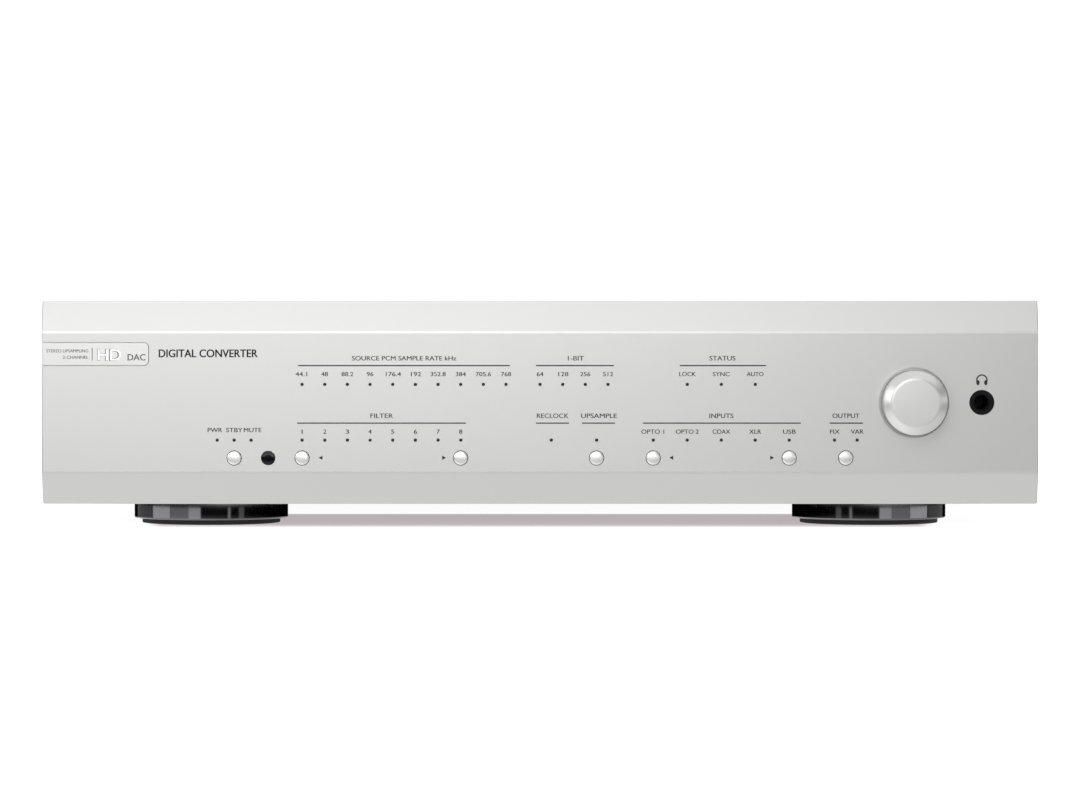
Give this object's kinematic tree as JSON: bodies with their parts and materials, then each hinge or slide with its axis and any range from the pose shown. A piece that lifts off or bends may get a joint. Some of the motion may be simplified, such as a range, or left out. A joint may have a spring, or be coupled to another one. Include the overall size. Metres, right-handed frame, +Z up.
{
  "type": "desktop dac",
  "caption": "Full-width digital to analogue converter with a bevelled silver fascia, volume knob, push buttons, indicator lights, headphone socket and rear line sockets.",
  "frame": {"origin": "on the resting surface, under the middle of the overall box", "axes": "+Z up, the front faces -Y, +X to the right seen from the front"},
  "size_m": [0.44, 0.3796, 0.1],
  "materials": {
    "anodised_silver": "fine satin anodised",
    "knob_aluminium": "turned and satin anodised",
    "button_metal": "bright satin",
    "badge_metal": "polished plate",
    "cover_silver": "fine textured silver powder coat",
    "case_black": "fine textured black",
    "zinc_steel": "zinc plated",
    "black_screws": "blackened",
    "foot_grey": "glossy dark grey",
    "foot_rubber": "matt",
    "led_clear": "smoked clear",
    "led_chip": "moulded",
    "window_black": "polished",
    "moulded_black": "fine texture",
    "gloss_black": "gloss",
    "nickel": "nickel plated",
    "gold": "gold plated",
    "circuit_green": "solder mask",
    "tape_wound": "wound polyester tape",
    "capacitor_sleeve": "heat-shrunk sleeve",
    "heatsink_black": "black anodised",
    "chip_black": "moulded epoxy",
    "relay_cream": "moulded",
    "ribbon_grey": "flat cable",
    "fuse_glass": "clear"
  },
  "bodies": {
    "case": {"badge_plate": "badge_metal", "base_chassis": "case_black", "board_posts": "nickel", "board_screws": "zinc_steel", "button_switches": "moulded_black", "converter_chips": "chip_black", "encoder_body": "zinc_steel", "encoder_nut": "nickel", "fascia": "anodised_silver", "fascia_screws": "zinc_steel", "foot_front_left": "foot_grey", "foot_front_right": "foot_grey", "foot_pads": "foot_rubber", "foot_rear_left": "foot_grey", "foot_rear_right": "foot_grey", "foot_screws": "zinc_steel", "front_board": "circuit_green", "front_frame": "zinc_steel", "headphone_board": "circuit_green", "headphone_jack": "moulded_black", "light_pipes": "led_clear", "main_board": "circuit_green", "mains_inlet": "moulded_black", "optical_sockets": "moulded_black", "output_relays": "relay_cream", "panel_screws": "black_screws", "phono_sockets": "gold", "power_supply_board": "circuit_green", "rear_panel": "cover_silver", "regulators": "heatsink_black", "remote_receiver": "window_black", "remote_window": "window_black", "ribbon_cable": "ribbon_grey", "rocker_frame": "moulded_black", "smoothing_capacitors": "capacitor_sleeve", "status_leds": "led_chip", "top_cover": "cover_silver", "toroidal_transformer": "tape_wound", "transformer_bolt": "zinc_steel", "transformer_pads": "foot_rubber", "transformer_washer": "zinc_steel", "usb_socket": "nickel", "xlr_input": "moulded_black", "xlr_outputs": "nickel"},
    "volume_knob": {"volume_knob": "knob_aluminium", "encoder_shaft": "zinc_steel"},
    "mains_rocker": {"mains_rocker": "gloss_black"},
    "fuse_drawer": {"fuse_drawer": "gloss_black", "mains_fuse": "fuse_glass"},
    "xlr_latch": {"xlr_latch": "nickel"},
    "optical_shutter_1": {"optical_shutter_1": "gloss_black"},
    "optical_shutter_2": {"optical_shutter_2": "gloss_black"},
    "filter_down_button": {"filter_down_button": "button_metal"},
    "filter_up_button": {"filter_up_button": "button_metal"},
    "input_down_button": {"input_down_button": "button_metal"},
    "input_up_button": {"input_up_button": "button_metal"},
    "output_button": {"output_button": "button_metal"},
    "standby_button": {"standby_button": "button_metal"},
    "upsample_button": {"upsample_button": "button_metal"}
  },
  "joints": [
    {"name": "volume_turn", "type": "hinge", "parent": "case", "child": "volume_knob", "pos_m": [0.165, -0.17425, 0.055], "axis": [0, -1, 0], "continuous": true},
    {"name": "filter_down_press", "type": "slide", "parent": "case", "child": "filter_down_button", "axis": [0, 1, 0], "range_m": [0, 0.0005], "stiffness_N_per_m": 2400, "springref_m": -0.0004},
    {"name": "filter_up_press", "type": "slide", "parent": "case", "child": "filter_up_button", "axis": [0, 1, 0], "range_m": [0, 0.0005], "stiffness_N_per_m": 2400, "springref_m": -0.0004},
    {"name": "input_down_press", "type": "slide", "parent": "case", "child": "input_down_button", "axis": [0, 1, 0], "range_m": [0, 0.0005], "stiffness_N_per_m": 2400, "springref_m": -0.0004},
    {"name": "input_up_press", "type": "slide", "parent": "case", "child": "input_up_button", "axis": [0, 1, 0], "range_m": [0, 0.0005], "stiffness_N_per_m": 2400, "springref_m": -0.0004},
    {"name": "output_press", "type": "slide", "parent": "case", "child": "output_button", "axis": [0, 1, 0], "range_m": [0, 0.0005], "stiffness_N_per_m": 2400, "springref_m": -0.0004},
    {"name": "standby_press", "type": "slide", "parent": "case", "child": "standby_button", "axis": [0, 1, 0], "range_m": [0, 0.0005], "stiffness_N_per_m": 2400, "springref_m": -0.0004},
    {"name": "upsample_press", "type": "slide", "parent": "case", "child": "upsample_button", "axis": [0, 1, 0], "range_m": [0, 0.0005], "stiffness_N_per_m": 2400, "springref_m": -0.0004},
    {"name": "mains_switch", "type": "hinge", "parent": "case", "child": "mains_rocker", "pos_m": [-0.11, 0.17375, 0.054], "axis": [1, 0, 0], "range_deg": [0, 24]},
    {"name": "fuse_drawer_slide", "type": "slide", "parent": "case", "child": "fuse_drawer", "axis": [0, 1, 0], "range_m": [0, 0.016]},
    {"name": "xlr_latch_press", "type": "slide", "parent": "case", "child": "xlr_latch", "axis": [0, 0, -1], "range_m": [0, 0.0015], "stiffness_N_per_m": 1200, "springref_m": -0.001},
    {"name": "optical_shutter_1_swing", "type": "hinge", "parent": "case", "child": "optical_shutter_1", "pos_m": [0.05, 0.17835, 0.045], "axis": [-1, 0, 0], "range_deg": [0, 85], "stiffness_Nm_per_rad": 0.0004, "springref_deg": -11.46},
    {"name": "optical_shutter_2_swing", "type": "hinge", "parent": "case", "child": "optical_shutter_2", "pos_m": [0.032, 0.17835, 0.045], "axis": [-1, 0, 0], "range_deg": [0, 85], "stiffness_Nm_per_rad": 0.0004, "springref_deg": -11.46}
  ]
}
